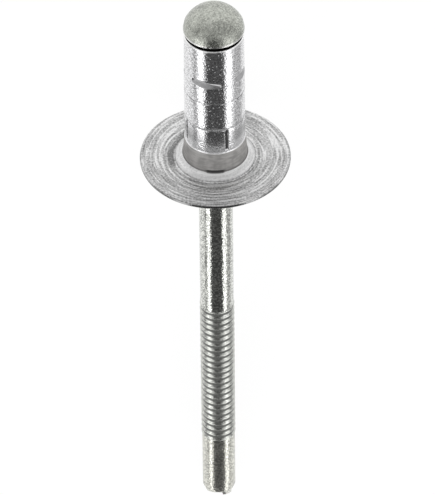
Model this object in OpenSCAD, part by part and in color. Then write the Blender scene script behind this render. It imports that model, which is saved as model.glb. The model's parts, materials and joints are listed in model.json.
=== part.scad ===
// Large flange pop rivet, unset, as it lies on a bench.
// A flanged aluminium body holds a steel mandrel with a domed head.
// Each piece is drawn on the rivet's own axis: height 0 is the flange's bearing face,
// the domed head is up and the pulling end of the mandrel is down.
// Angles round the axis count from the front, to the right as seen with the head up.

/* [Body] */
// Diameter of the shank, which goes into the drilled hole
shank_d = 6.4; // [5.6:0.1:7.2]
// Length of the body from the bearing face to its end under the head
body_len = 17.1; // [15.5:0.1:30]
// How much the body's radius narrows towards its end
nose_taper = 0.07; // [0:0.01:0.3]
// Length of the narrowing end
nose_len = 6.5; // [3:0.1:8]
// Rounding of the body's outer edge under the head
nose_round = 0.1; // [0.05:0.05:0.4]
// Chamfer of the bore at both ends
bore_chamfer = 0.15; // [0.05:0.05:0.4]

/* [Root of the body] */
// Height of the shoulder where the thicker root begins
shoulder_height = 3.15; // [2.4:0.05:3.6]
// Step of the shoulder beyond the shank
shoulder_step = 0.04; // [0.02:0.01:0.2]
// Radial step from the shank to the foot of the root
root_flare = 0.22; // [0.2:0.01:0.5]
// Height of the root's foot, where the sloped collar begins
collar_height = 0.67; // [0.4:0.01:1.2]
// Radial width of the sloped collar, beyond the root's foot
collar_w = 0.83; // [0.5:0.01:1.2]
// Height of the collar's outer edge
collar_edge = 0.12; // [0.04:0.02:0.3]

/* [Flange] */
// Diameter of the flange
flange_d = 16; // [14:0.5:20]
// Thickness of the flange at its rim
rim_t = 0.45; // [0.35:0.05:0.9]
// Thickness of the flange at its middle, from the bearing face to the flat round the mandrel
flange_t = 1.9; // [1.2:0.1:3]
// Diameter of the flat round the mandrel, on the back of the flange
back_flat_d = 6; // [5:0.1:8]
// Rounding of both edges of the rim
rim_round = 0.15; // [0.05:0.01:0.17]
// Distance of the innermost turned ring from the collar
ring_gap = 0.18; // [0.15:0.01:0.5]
// Depth of the innermost turned ring
inner_ring_depth = 0.06; // [0.03:0.01:0.1]
// Distance of the middle turned ring from the rim
middle_ring_inset = 1.9; // [1.6:0.1:2.4]
// Distance of the outer turned ring from the rim
outer_ring_inset = 1.1; // [0.6:0.1:1.4]
// Depth of the middle and outer turned rings
fine_ring_depth = 0.03; // [0.02:0.01:0.08]
// Radius of the tool tip that turned the rings
ring_tool_r = 0.2; // [0.1:0.05:0.25]

/* [Crimps] */
// Number of crimps that lock the mandrel in the body
crimp_count = 4; // [2:1:5]
// Distance of the row of crimps from the body's end
crimp_drop = 4.6; // [3.2:0.1:6]
// Depth of each crimp at its middle
crimp_depth = 0.3; // [0.2:0.05:0.5]
// Angle between the two flanks of a crimp
crimp_angle = 118; // [80:1:130]
// Width of each crimp, straight across
crimp_w = 3; // [2:0.1:3.6]
// Radius of the hollow edge of the crimping tool
crimp_edge_r = 3.9; // [3.5:0.1:8]
// Angle of the first crimp
crimp_turn = -17; // [-90:1:90]
// Slope of each crimp, down to the right
crimp_slope = 2; // [0:1:15]

/* [Die marks] */
// Height of the lower fine ring round the shank, where the nicks end
low_mark_height = 6.15; // [5:0.05:7]
// Height of the upper fine ring
high_mark_height = 9.85; // [8:0.05:10]
// Depth of the fine rings
mark_depth = 0.04; // [0.02:0.01:0.1]
// Radius of the edge that left the fine rings
mark_r = 0.1; // [0.05:0.01:0.2]
// Number of lengthwise nicks over the shoulder
nick_count = 4; // [1:1:8]
// Angle of the first nick
nick_turn = 23; // [-90:1:90]
// Radius of a nick's round bottom
nick_r = 0.2; // [0.15:0.05:0.4]
// Depth of a nick
nick_depth = 0.13; // [0.05:0.01:0.2]
// Gap from the shoulder to the lower end of a nick
nick_gap = 0.25; // [0.1:0.05:0.8]

/* [Mandrel] */
// Diameter of the mandrel's stem
stem_d = 3.64; // [3:0.02:4]
// Length of the mandrel from the bearing face to its pulling end
tail_len = 50.2; // [44:0.1:60]
// Depth of the neck where the mandrel breaks, hidden in the body
neck_depth = 0.42; // [0.2:0.01:0.8]
// Distance of the neck from the body's end
neck_drop = 2.2; // [1.6:0.1:4]
// Length of the sheared and tapered pulling end
tip_len = 1.3; // [0.8:0.1:2]
// How much the mandrel's radius tapers at the pulling end
tip_taper = 0.47; // [0.2:0.01:0.8]
// Slope of the two pinched faces of the pulling end
tip_slope = 33; // [20:1:50]
// Length of the torn lobe past the pinched end
lobe_len = 0.45; // [0.1:0.05:0.8]
// Distance of the torn lobe from the middle of the pulling end
lobe_side = 0.37; // [-0.5:0.01:0.8]

/* [Mandrel head] */
// How far the head stands out beyond the body's end, all round
head_overhang = 0.07; // [0:0.01:0.3]
// Height of the head over the body's end
head_h = 3.3; // [3.1:0.1:4.5]
// Height of the dome, above the head's straight side
dome_h = 2.25; // [1.5:0.05:2.4]
// Height over and under the dome's edge that the edge is eased by
head_ease = 0.3; // [0.1:0.05:0.4]
// Distance from the head's side to the flat seat that bears on the body's end
seat_inset = 0.5; // [0.35:0.05:0.8]
// Height of the head's lower rim over the body's end
head_gap = 0.4; // [0.2:0.05:0.6]
// Chamfer of the head's lower rim
head_chamfer = 0.1; // [0.05:0.01:0.2]

/* [Serrations] */
// Distance from the bearing face to the first ridge
serration_start = 21.4; // [16:0.1:24]
// Number of rounded grooves
serration_count = 24; // [10:1:26]
// Distance from ridge to ridge
serration_pitch = 0.808; // [0.6:0.01:0.9]
// Height of the ridges over the stem
ridge_height = 0.08; // [0.04:0.01:0.3]
// Depth of each groove below the ridges
serration_depth = 0.13; // [0.05:0.01:0.3]
// Length of the slope before the first ridge and after the last one
serration_lead = 0.12; // [0.05:0.01:0.4]

/* [Fits] */
// Radial clearance between the bore and the mandrel's ridges, which pass through it
bore_clearance = 0.05; // [0.02:0.01:0.2]

/* [Hidden] */
$fn = 96;
// Overshoot of the cutting shapes
over = 1;
// Angle of the seam of the body's turning, which sets the facet that the rim rests on
seam_turn = 0.7;

shank_r = shank_d / 2;
nose_r = shank_r - nose_taper;
shoulder_r = shank_r + shoulder_step;
root_r = shank_r + root_flare;
collar_r = root_r + collar_w;
flange_r = flange_d / 2;
stem_r = stem_d / 2;
ridge_r = stem_r + ridge_height;
bore_r = ridge_r + bore_clearance;
neck_r = stem_r - neck_depth;
tip_r = stem_r - tip_taper;
head_r = nose_r + head_overhang;
nose_start = body_len - nose_len;
crimp_height = body_len - crimp_drop;
neck_height = body_len - neck_drop;

// The back of the flange is part of a ball that passes through the rim and the flat's edge
back_edge_r = flange_r - rim_round;
back_flat_r = back_flat_d / 2;
back_centre = (pow(back_edge_r, 2) - pow(back_flat_r, 2) + pow(rim_t, 2) - pow(flange_t, 2))
    / (2 * (flange_t - rim_t));
back_r = norm([back_edge_r, rim_t + back_centre]);

// The body's radius at the row of crimps
crimp_r = shank_r + (nose_r - shank_r) * max(0, crimp_height - nose_start) / nose_len;

// The dome is part of a ball, which meets the head's side at the dome's edge.
// A slight cone eases that edge, from head_ease below it to head_ease above it.
head_top = body_len + head_h;
dome_edge = head_top - dome_h;
dome_r = (pow(head_r, 2) + pow(dome_h, 2)) / (2 * dome_h);
dome_centre = head_top - dome_r;
ease_top = dome_h - head_ease;
ease_r = sqrt(pow(dome_r, 2) - pow(dome_r - ease_top, 2));
ease_slope = (head_r - ease_r) / (2 * head_ease);

serration_len = serration_count * serration_pitch;
// A groove is round, and meets the next one in a sharp ridge
groove_r = (pow(serration_pitch / 2, 2) + pow(serration_depth, 2)) / (2 * serration_depth);

// At rest the rivet lies on the flange's rim and on the edge where the pulling end's taper begins
rest_reach = tail_len - tip_len - rim_t + rim_round;
rest_drop = flange_r - rim_round - stem_r;
lay_angle = atan2(rest_drop, rest_reach) + asin(rim_round / norm([rest_reach, rest_drop]));
rest_height = (tail_len - tip_len) * sin(lay_angle) + stem_r * cos(lay_angle);
rest_middle = ((dome_centre - tail_len - lobe_len) * cos(lay_angle) + dome_r) / 2;

// Lays a piece drawn on the rivet's axis down on the bench, with the front up
module lay_down() {
    translate([0, -rest_middle, rest_height]) rotate([lay_angle - 90, 0, 0]) children();
}

// Turns what is drawn along +X to an angle round the axis, counted from the front
module turn_to(angle) {
    rotate([0, 0, angle - 90]) children();
}

// Section of the flange, with both edges of its rim rounded
module flange_section() {
    translate([0, -rim_t]) square([back_edge_r, rim_t]);
    translate([0, rim_round - rim_t]) square([flange_r, rim_t - 2 * rim_round]);
    for (z = [-rim_round, rim_round - rim_t]) translate([back_edge_r, z]) circle(rim_round);
    intersection() {
        translate([0, back_centre]) circle(back_r);
        translate([0, -flange_t]) square([back_edge_r, flange_t - rim_t / 2]);
    }
}

// Section of the body over the bearing face: collar, root, shoulder, shank and nose
module shank_section() {
    polygon([
        [0, -rim_t / 2],
        [collar_r, -rim_t / 2],
        [collar_r, collar_edge],
        [root_r, collar_height],
        [shoulder_r, shoulder_height - shoulder_step],
        [shank_r, shoulder_height],
        [shank_r, nose_start],
        [nose_r, body_len - nose_round],
        [nose_r - nose_round, body_len - nose_round],
        [nose_r - nose_round, body_len],
        [0, body_len],
    ]);
    translate([nose_r - nose_round, body_len - nose_round]) circle(nose_round);
}

// Section of the bore with its two chamfers
module bore_section() {
    polygon([
        [-over, -flange_t - over],
        [bore_r + bore_chamfer + over, -flange_t - over],
        [bore_r + bore_chamfer, -flange_t],
        [bore_r, bore_chamfer - flange_t],
        [bore_r, body_len - bore_chamfer],
        [bore_r + bore_chamfer, body_len],
        [bore_r + bore_chamfer + over, body_len + over],
        [-over, body_len + over],
    ]);
}

// Grooves of the turned rings and of the fine die marks
module ring_sections() {
    translate([collar_r + ring_gap, ring_tool_r - inner_ring_depth]) circle(ring_tool_r);
    for (inset = [middle_ring_inset, outer_ring_inset])
        translate([flange_r - inset, ring_tool_r - fine_ring_depth]) circle(ring_tool_r);
    for (z = [low_mark_height, high_mark_height])
        translate([shank_r + mark_r - mark_depth, z]) circle(mark_r);
}

// One wedge of the crimping tool with its hollow edge, pressed in at the front
module crimp() {
    reach = crimp_depth + over;
    spread = reach * tan(crimp_angle / 2);
    half_turn = asin(crimp_w / 2 / crimp_edge_r);
    translate([crimp_r - crimp_depth - crimp_edge_r, 0, crimp_height])
        rotate([-crimp_slope, 0, 0]) rotate([0, 0, -half_turn])
            rotate_extrude(angle = 2 * half_turn) translate([crimp_edge_r, 0])
                polygon([[0, 0], [reach, spread], [reach, -spread]]);
}

// One lengthwise nick over the shoulder
module nick() {
    bottom = shoulder_height + nick_gap;
    translate([shank_r + nick_r - nick_depth, 0, bottom])
        cylinder(r = nick_r, h = low_mark_height - bottom);
}

module rivet_body() {
    color("gainsboro") lay_down() difference() {
        rotate([0, 0, seam_turn]) rotate_extrude() difference() {
            union() {
                flange_section();
                shank_section();
            }
            bore_section();
            ring_sections();
        }
        for (i = [0:crimp_count - 1]) turn_to(crimp_turn + i * 360 / crimp_count) crimp();
        for (i = [0:nick_count - 1]) turn_to(nick_turn + i * 360 / nick_count) nick();
    }
}

// Section of the mandrel: the head under a straight-sided blank, its seat, the stem,
// the neck where it breaks, and the tapered pulling end
module stem_section() {
    rim = body_len + head_gap;
    polygon([
        [0, head_top + over],
        [ease_r - (ease_top + over) * ease_slope, head_top + over],
        [head_r, dome_edge - head_ease],
        [head_r, rim + head_chamfer],
        [head_r - head_chamfer, rim],
        [head_r - seat_inset, body_len],
        [stem_r, body_len],
        [stem_r, neck_height + neck_depth],
        [neck_r, neck_height],
        [stem_r, neck_height - neck_depth],
        [stem_r, tip_len - tail_len],
        [tip_r, -tail_len],
        [tip_r, -tail_len - lobe_len],
        [0, -tail_len - lobe_len],
    ]);
}

// What the heading die takes off the blank to leave the dome
module over_dome() {
    difference() {
        translate([-over, dome_edge - head_ease])
            square([head_r + 2 * over, ease_top + 2 * head_ease + 2 * over]);
        translate([0, dome_centre]) circle(dome_r);
    }
}

// Section of the raised band that the serrations are cut in
module serration_band() {
    polygon([
        [0, serration_lead - serration_start],
        [stem_r, serration_lead - serration_start],
        [ridge_r, -serration_start],
        [ridge_r, -serration_start - serration_len],
        [stem_r, -serration_start - serration_len - serration_lead],
        [0, -serration_start - serration_len - serration_lead],
    ]);
}

// Round grooves of the serrations, which leave sharp ridges between them
module serration_grooves() {
    for (i = [0:serration_count - 1])
        translate([
            ridge_r - serration_depth + groove_r,
            -serration_start - (i + 0.5) * serration_pitch,
        ]) circle(groove_r);
}

// What the pinching tool took from the pulling end, on both sides of a ridge at the given length
module pinch(length, from_side, to_side) {
    rise = stem_d * tan(tip_slope);
    bottom = lobe_len + over;
    translate([from_side, 0, -length]) rotate([90, 0, 90])
        linear_extrude(to_side - from_side)
            polygon([[-stem_d, rise], [0, 0], [stem_d, rise], [stem_d, -bottom], [-stem_d, -bottom]]);
}

module mandrel() {
    color("silver") lay_down() difference() {
        rotate_extrude() difference() {
            union() {
                stem_section();
                serration_band();
            }
            over_dome();
            serration_grooves();
        }
        pinch(tail_len, -stem_d, lobe_side);
        pinch(tail_len + lobe_len, lobe_side, stem_d);
    }
}

rivet_body();
mandrel();
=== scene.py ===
"""Large flange pop rivet, unset, as it lies on a bench: finished pieces, studio and camera.

Every piece is made in the rivet's own coordinates and then laid down into the frame of the
packed model. There, height 0 is the flange's bearing face, +Z runs to the domed head, and
the front is -Y. Angles round the axis count from the front, to the right.
"""

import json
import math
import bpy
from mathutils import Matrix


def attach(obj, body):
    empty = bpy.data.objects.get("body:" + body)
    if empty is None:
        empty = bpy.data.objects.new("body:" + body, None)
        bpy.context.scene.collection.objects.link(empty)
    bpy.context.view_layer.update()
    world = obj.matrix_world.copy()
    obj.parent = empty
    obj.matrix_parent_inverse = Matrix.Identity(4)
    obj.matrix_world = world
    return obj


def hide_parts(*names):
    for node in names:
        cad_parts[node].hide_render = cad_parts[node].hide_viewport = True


bl_info = {
    "name": "Large Flange Pop Rivet",
    "version": (1, 0, 0),
    "blender": (4, 5, 0),
    "location": "3D View > Sidebar > Pop Rivet",
    "description": "Builds a lying blind rivet with a wide flange, and a studio round it",
    "category": "Add Mesh",
}

from types import SimpleNamespace

import bpy
import numpy as np
from bpy.props import FloatProperty, FloatVectorProperty, IntProperty, PointerProperty
from bpy.types import Operator, Panel, PropertyGroup
from mathutils import Matrix, Vector

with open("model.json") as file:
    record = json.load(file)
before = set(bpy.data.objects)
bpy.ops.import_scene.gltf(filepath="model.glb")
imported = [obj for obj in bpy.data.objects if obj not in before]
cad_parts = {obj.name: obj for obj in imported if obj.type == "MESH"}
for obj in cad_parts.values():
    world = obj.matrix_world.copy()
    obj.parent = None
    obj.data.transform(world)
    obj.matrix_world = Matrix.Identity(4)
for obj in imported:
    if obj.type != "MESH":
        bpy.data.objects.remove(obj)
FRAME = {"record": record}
MOUNTS = {mount["name"]: mount for mount in FRAME["record"]["mounts"]}
MM = 0.001


def size(name, description, mm):
    """A length that a user can change, given in millimetres."""
    return FloatProperty(
        name=name, description=description, default=mm * MM, min=0.0, precision=5, unit="LENGTH"
    )


def angle(name, description, degrees):
    """An angle that a user can change, given in degrees."""
    return FloatProperty(
        name=name, description=description, default=math.radians(degrees), unit="ROTATION"
    )


def share(name, description, default, top=1.0):
    """A plain number that a user can change."""
    return FloatProperty(name=name, description=description, default=default, min=0.0, max=top)


def count(name, description, default):
    """A number of like features."""
    return IntProperty(name=name, description=description, default=default, min=1)


def colour(name, description, rgb):
    """A colour that a user can change."""
    return FloatVectorProperty(
        name=name, description=description, default=rgb, size=3, min=0.0, max=1.0, subtype="COLOR"
    )


class BodySizes(PropertyGroup):
    """Sizes of the flanged body, as in the CAD model"""

    shank_d: size("Shank diameter", "Diameter of the shank", 6.4)
    length: size("Length", "From the bearing face to the body's end under the head", 17.1)
    nose_taper: size("Nose taper", "How much the radius narrows towards the end", 0.07)
    nose_len: size("Nose length", "Length of the narrowing end", 6.5)
    nose_round: size("Nose rounding", "Rounding of the edge under the head", 0.1)
    bore_d: size("Bore diameter", "Diameter of the through bore", 3.9)
    bore_chamfer: size("Bore chamfer", "Chamfer of the bore at both ends", 0.15)
    shoulder_height: size("Shoulder height", "Where the thicker root begins", 3.15)
    shoulder_step: size("Shoulder step", "Step of the shoulder beyond the shank", 0.04)
    root_flare: size("Root flare", "From the shank to the foot of the root", 0.22)
    collar_height: size("Collar height", "Height of the root's foot", 0.67)
    collar_w: size("Collar width", "Radial width of the sloped collar", 0.83)
    collar_edge: size("Collar edge", "Height of the collar's outer edge", 0.12)
    flange_d: size("Flange diameter", "Diameter of the flange", 16.0)
    rim_t: size("Rim thickness", "Thickness of the flange at its rim", 0.45)
    flange_t: size("Flange thickness", "Thickness of the flange at its middle", 1.9)
    back_flat_d: size("Back flat", "Diameter of the flat round the mandrel", 6.0)
    rim_round: size("Rim rounding", "Rounding of both edges of the rim", 0.15)
    crimp_count: count("Crimps", "Number of crimps that lock the mandrel", 4)
    crimp_height: size("Crimp height", "Height of the row of crimps", 12.5)
    crimp_depth: size("Crimp depth", "Depth of each crimp at its middle", 0.3)
    crimp_angle: angle("Crimp angle", "Angle between the two flanks of a crimp", 118)
    crimp_w: size("Crimp width", "Width of each crimp, straight across", 3.0)
    crimp_edge_r: size("Crimp edge", "Radius of the hollow edge of the crimping tool", 3.9)
    crimp_turn: angle("Crimp turn", "Angle of the first crimp", -17)
    crimp_slope: angle("Crimp slope", "Slope of each crimp, down to the right", 2)
    nick_count: count("Nicks", "Number of lengthwise nicks", 4)
    nick_turn: angle("Nick turn", "Angle of the first nick", 23)
    nick_r: size("Nick radius", "Radius of a nick's round bottom", 0.2)
    nick_depth: size("Nick depth", "Depth of a nick", 0.13)
    nick_bottom: size("Nick bottom", "Height of a nick's lower end", 3.4)
    nick_top: size("Nick top", "Height of a nick's upper end", 6.15)
    high_mark: size("High mark", "Height of the upper fine ring", 9.85)
    mark_r: size("Mark radius", "Radius of the edge that left the fine rings", 0.1)
    mark_depth: size("Mark depth", "Depth of the fine rings", 0.04)


class MandrelSizes(PropertyGroup):
    """Sizes of the mandrel, as in the CAD model"""

    stem_d: size("Stem diameter", "Diameter of the plain stem", 3.64)
    tail_len: size("Tail length", "From the bearing face to the pulling end", 50.2)
    neck_depth: size("Neck depth", "Depth of the neck where the mandrel breaks", 0.42)
    neck_height: size("Neck height", "Height of the neck, inside the body", 14.9)
    tip_len: size("Tip length", "Length of the tapered pulling end", 1.3)
    tip_taper: size("Tip taper", "How much the radius tapers at the pulling end", 0.47)
    tip_slope: angle("Tip slope", "Slope of the two pinched faces", 33)
    lobe_len: size("Lobe length", "Length of the torn lobe past the pinched end", 0.45)
    lobe_side: size("Lobe side", "Distance of the torn lobe from the middle", 0.37)
    head_d: size("Head diameter", "Diameter of the domed head", 6.4)
    head_h: size("Head height", "Height of the head over the body's end", 3.3)
    dome_h: size("Dome height", "Height of the dome over the head's side", 2.25)
    head_ease: size("Edge easing", "Height that the dome's edge is eased by", 0.3)
    seat_inset: size("Seat inset", "From the head's side to its flat seat", 0.5)
    head_gap: size("Head gap", "Height of the head's lower rim over the body", 0.4)
    head_chamfer: size("Head chamfer", "Chamfer of the head's lower rim", 0.1)
    serration_start: size("First ridge", "From the bearing face to the first ridge", 21.4)
    serration_count: count("Serrations", "Number of rounded grooves", 24)
    serration_pitch: size("Serration pitch", "Distance from ridge to ridge", 0.808)
    ridge_height: size("Ridge height", "Height of the ridges over the stem", 0.08)
    serration_depth: size("Serration depth", "Depth of each groove", 0.13)
    serration_lead: size("Serration lead", "Slope before the first ridge", 0.12)


class Finish(PropertyGroup):
    """Colours and roughness of the metals"""

    drawn: colour("Drawn aluminium", "Colour of the bright shank", (0.76, 0.76, 0.77))
    drawn_rough: share("Shank roughness", "Roughness of the bright shank", 0.13)
    turned: colour("Turned aluminium", "Colour of the flange", (0.56, 0.56, 0.56))
    turned_rough: share("Flange roughness", "Roughness of the flange", 0.5)
    head: colour("Plated head", "Colour of the domed head", (0.54, 0.555, 0.505))
    head_rough: share("Head roughness", "Roughness of the domed head", 0.25)
    stem: colour("Plated stem", "Colour of the stem", (0.72, 0.73, 0.69))
    stem_rough: share("Stem roughness", "Roughness of the stem", 0.15)
    tail: colour("Tail", "Colour of the stem's pulling end", (0.66, 0.655, 0.595))
    root: colour("Root", "Colour of the shank's dull root", (0.44, 0.43, 0.42))
    sheared: colour("Sheared steel", "Colour of the sheared end", (0.52, 0.51, 0.48))
    gap: colour("Gap", "Colour of the oily gap under the head", (0.03, 0.03, 0.03))


class Studio(PropertyGroup):
    """Camera, light and floor"""

    elevation: angle("Camera elevation", "Camera over the plane across the rivet's axis", 42.9)
    distance: size("Camera distance", "From the camera to the rivet's axis", 591.4)
    aim: size("Camera aim", "How far under the bearing face the camera looks", 13.346)
    aside: size("Camera aside", "How far to the right of the axis the camera looks", 0.12)
    lean: angle("Lean", "How far the rivet leans to the left in the picture", 0.675)
    lens: share("Lens", "Focal length in millimetres", 400.0, 1000.0)
    room_light: share("Room light", "Strength of the even light on dull surfaces", 0.7, 4.0)
    backdrop: share("Backdrop", "Strength of the white that metal mirrors", 1.0, 4.0)
    box_light: share("Softboxes", "Brightness of the two softboxes", 1.1, 10.0)
    floor_tone: share("Floor tone", "Brightness of the pale floor", 0.94)
    dark_card: share("Dark flag", "Brightness of the flag that darkens the front", 0.09)
    top_card: share("Top card", "Brightness of the card beside the camera", 0.55)
    side_card: share("Side cards", "Brightness of the cards at both sides", 0.3)
    tail_card: share("Tail card", "Brightness of the card past the pulling end", 0.08)


def rivet_frame():
    """Matrix from the rivet's own coordinates to the packed model's, from two of its mounts."""
    shank, face = MOUNTS["shank"], MOUNTS["bearing_face"]
    axis = Vector(shank["axis"]).normalized()
    middle = Vector(shank["pos_m"])
    origin = middle - axis * (middle - Vector(face["pos_m"])).dot(axis)
    right = Vector((1.0, 0.0, 0.0))
    back = axis.cross(right)
    return Matrix.Translation(origin) @ Matrix((right, back, axis)).transposed().to_4x4()


RIVET = rivet_frame()


# Profiles, as rows of radius and height in millimetres

# Rows of the body's section: how close they lie, and where they lie closer
PLAIN_STEP, CRIMP_STEP, ROOT_STEP, COLLAR_STEP = 0.4, 0.04, 0.35, 0.12
CRIMP_ABOVE, CRIMP_BELOW = 0.66, 0.62
MARK_ROWS = np.array([0.06, 0.03, 0.0, -0.03, -0.06, -0.12])
MARK_REACH, SHOULDER_REACH = 0.12, 0.45
FACE_ROWS, FACE_ROOM, BACK_ROWS = 66, 0.03, 20
# Rounded inner corners at the root's foot and at the collar
FOOT_ROUND = ((-0.01, 0.12), (0.02, 0.03), (0.07, -0.03))
COLLAR_TOP, COLLAR_FOOT, COLLAR_DROP = 0.09, 0.03, 0.02
# Three turned rings of the flange, as radius, depth and half width, and the lathe lines between
RINGS = ((4.43, 0.06, 0.12), (6.10, 0.03, 0.10), (6.90, 0.03, 0.10))
LATHE_DEPTH = 0.006
LATHE_LINES = np.random.default_rng(5)
# Rows of the mandrel's section, and where they lie along a groove, as shares of the pitch
DOME_ROWS, LEAD_ROWS = 34, 4
EASE_STEP, HEAD_STEP, STEM_STEP, TAIL_STEP = 0.12, 0.2, 3.0, 1.5
SEAT_ROUND, SERRATION_ROOM = 0.05, 0.3
GROOVE_ROWS = np.array([0.0, 0.03, 0.09, 0.18, 0.29, 0.4, 0.5, 0.6, 0.71, 0.82, 0.91, 0.97])
# Height of the body's end, in metres, and points round each piece
BODY_TOP = 0.0171
BODY_SEGMENTS = 440
MANDREL_SEGMENTS = 224


def along(points, step):
    """The corners of a line and points between them, at most a step apart."""
    rows = [points[0]]
    for (r0, z0), (r1, z1) in zip(points, points[1:]):
        parts = max(1, math.ceil(math.hypot(r1 - r0, z1 - z0) / step))
        rows += [(r0 + (r1 - r0) * i / parts, z0 + (z1 - z0) * i / parts) for i in range(1, parts + 1)]
    return rows


def arc(r, z, radius, start, end, parts):
    """Points of an arc about (r, z), between two angles in degrees from the outward direction."""
    turns = np.radians(np.linspace(start, end, parts + 1))
    return [(r + radius * math.cos(t), z + radius * math.sin(t)) for t in turns]


def mm(value):
    """A length in millimetres."""
    return value / MM


def body_profile(s):
    """Closed section of the body: down the outside, over the flange and up the bore."""
    shank, nose = mm(s.shank_d) / 2, mm(s.shank_d / 2 - s.nose_taper)
    top, nose_round = mm(s.length), mm(s.nose_round)
    root, bore = shank + mm(s.root_flare), mm(s.bore_d) / 2
    collar, rim = root + mm(s.collar_w), mm(s.flange_d) / 2
    chamfer, rim_round, rim_t = mm(s.bore_chamfer), mm(s.rim_round), mm(s.rim_t)
    crimp, mark, shoulder = mm(s.crimp_height), mm(s.high_mark), mm(s.shoulder_height)
    flat, flange_t, step = mm(s.back_flat_d) / 2, mm(s.flange_t), mm(s.shoulder_step)
    edge = rim - rim_round

    def side(z):
        return nose + (shank - nose) * min(1.0, (top - z) / mm(s.nose_len))

    rows = [(bore + chamfer, top)]
    rows += arc(nose - nose_round, top - nose_round, nose_round, 90, 0, 5)
    lows = (crimp + CRIMP_ABOVE, crimp - CRIMP_BELOW, mark + MARK_REACH)
    for low, step_z in zip(lows, (PLAIN_STEP, CRIMP_STEP, PLAIN_STEP)):
        high = rows[-1][1]
        rows += [(side(z), z) for z in np.linspace(high, low, max(2, round((high - low) / step_z)) + 1)[1:]]
    for z_mark in (mark, mm(s.nick_top)):
        lows = z_mark + MARK_ROWS
        rows += [(side(z) - fine_mark(s, z - z_mark), z) for z in lows]
        end = mm(s.nick_top) + MARK_REACH if z_mark == mark else shoulder + SHOULDER_REACH
        rows += [(side(z), z) for z in np.linspace(lows[-1], end, 8)[1:]]
    rows += [(side(z), z) for z in np.linspace(shoulder + SHOULDER_REACH, shoulder, 9)[1:]]
    rows += [(shank + step * 0.7, shoulder - step * 0.25), (shank + step, shoulder - step)]
    foot, low = mm(s.collar_height), mm(s.collar_edge)
    rows += along([rows[-1]] + [(root + out, foot + up) for out, up in FOOT_ROUND], ROOT_STEP)[1:]
    slope = (foot - low) / mm(s.collar_w)
    upper = (root + COLLAR_TOP, foot - COLLAR_TOP * slope)
    lower = (collar - COLLAR_FOOT, low + COLLAR_FOOT * slope)
    rows += along([upper, lower, (collar, low - COLLAR_DROP)], COLLAR_STEP)
    rows += [(r, turned_face(r)) for r in np.linspace(collar + COLLAR_DROP, edge - FACE_ROOM, FACE_ROWS)]
    rows += arc(edge, -rim_round, rim_round, 90, 0, 6)
    rows += arc(edge, rim_round - rim_t, rim_round, 0, -90, 6)
    centre = (edge**2 - flat**2 + rim_t**2 - flange_t**2) / (2 * (flange_t - rim_t))
    ball = math.hypot(edge, rim_t + centre)
    rows += [(r, centre - math.sqrt(ball**2 - r**2)) for r in np.linspace(edge, flat, BACK_ROWS)[1:]]
    rows += [(bore + chamfer, -flange_t), (bore, chamfer - flange_t)]
    rows += [(bore, z) for z in np.linspace(chamfer - flange_t, top - chamfer, 6)[1:]]
    return np.array(rows) * MM


def fine_mark(s, off):
    """Depth of a fine ring at a distance from its middle, in millimetres."""
    r, depth = mm(s.mark_r), mm(s.mark_depth)
    return max(0.0, math.sqrt(max(0.0, r * r - off * off)) - (r - depth))


def turned_face(r):
    """Height of the bearing face at a radius: fine lathe lines, and three deeper rings."""
    height = -LATHE_DEPTH * LATHE_LINES.random()
    for middle, depth, half in RINGS:
        height = min(height, -depth * (1 - ((r - middle) / half) ** 2))
    return height


def mandrel_profile(s):
    """Open section of the mandrel from the middle of the dome down to the taper's start."""
    head, top = mm(s.head_d) / 2, mm(BODY_TOP) + mm(s.head_h)
    stem, seat = mm(s.stem_d) / 2, mm(BODY_TOP)
    dome_h, ease = mm(s.dome_h), mm(s.head_ease)
    ball = (head**2 + dome_h**2) / (2 * dome_h)
    centre = top - ball
    ease_z = top - dome_h + ease
    ease_r = math.sqrt(ball**2 - (ease_z - centre) ** 2)
    rows = arc(0, centre, ball, 90.0, math.degrees(math.asin((ease_z - centre) / ball)), DOME_ROWS)[1:]
    rim, chamfer = seat + mm(s.head_gap), mm(s.head_chamfer)
    low = top - dome_h - ease
    rows += along([(ease_r, ease_z), (head, low)], EASE_STEP)[1:]
    under = [(head, low), (head, rim + chamfer), (head - chamfer, rim), (head - mm(s.seat_inset), seat)]
    rows += along(under, HEAD_STEP)[1:]
    rows += [(stem + SEAT_ROUND, seat), (stem, seat - SEAT_ROUND)]
    neck, depth = mm(s.neck_height), mm(s.neck_depth)
    rows += [(stem, neck + depth), (stem - depth, neck), (stem, neck - depth)]
    rows += along([(stem, neck - depth), (stem, -mm(s.serration_start) + SERRATION_ROOM)], STEM_STEP)[1:]
    pitch, number = mm(s.serration_pitch), s.serration_count
    first, lead = -mm(s.serration_start), mm(s.serration_lead)
    last = first - pitch * number
    rows += [(stem, z) for z in np.linspace(first + lead, first, LEAD_ROWS)[:-1]]
    rows += [(stem, first - pitch * (i + k)) for i in range(number) for k in GROOVE_ROWS]
    rows += [(stem, z) for z in np.linspace(last, last - lead, LEAD_ROWS)]
    rows += along([(stem, last - lead), (stem, mm(s.tip_len) - mm(s.tail_len))], TAIL_STEP)[1:]
    return np.array(rows) * MM


def ring_points(radius, height, turns):
    """Points of rings round the axis, each from the front to the right."""
    rings = np.broadcast_arrays(radius * np.sin(turns), -radius * np.cos(turns), height)
    return np.stack(rings, 2).reshape(-1, 3)


def ring_faces(above, below):
    """Outward faces between rings of point numbers and the rings under them."""
    return np.stack([above, below, np.roll(below, -1, 1), np.roll(above, -1, 1)], 2).reshape(-1, 4)


def new_mesh(name, points, faces):
    mesh = bpy.data.meshes.new(name)
    mesh.from_pydata(points, [], faces)
    return mesh


def revolve(name, profile, segments):
    """Mesh of a closed section turned round the axis."""
    turns = np.linspace(0, 2 * math.pi, segments, endpoint=False)
    points = ring_points(profile[:, :1], profile[:, 1:], turns)
    index = np.arange(len(points)).reshape(-1, segments)
    return new_mesh(name, points.tolist(), ring_faces(index, np.roll(index, -1, 0)).tolist())


# Node trees


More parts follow.
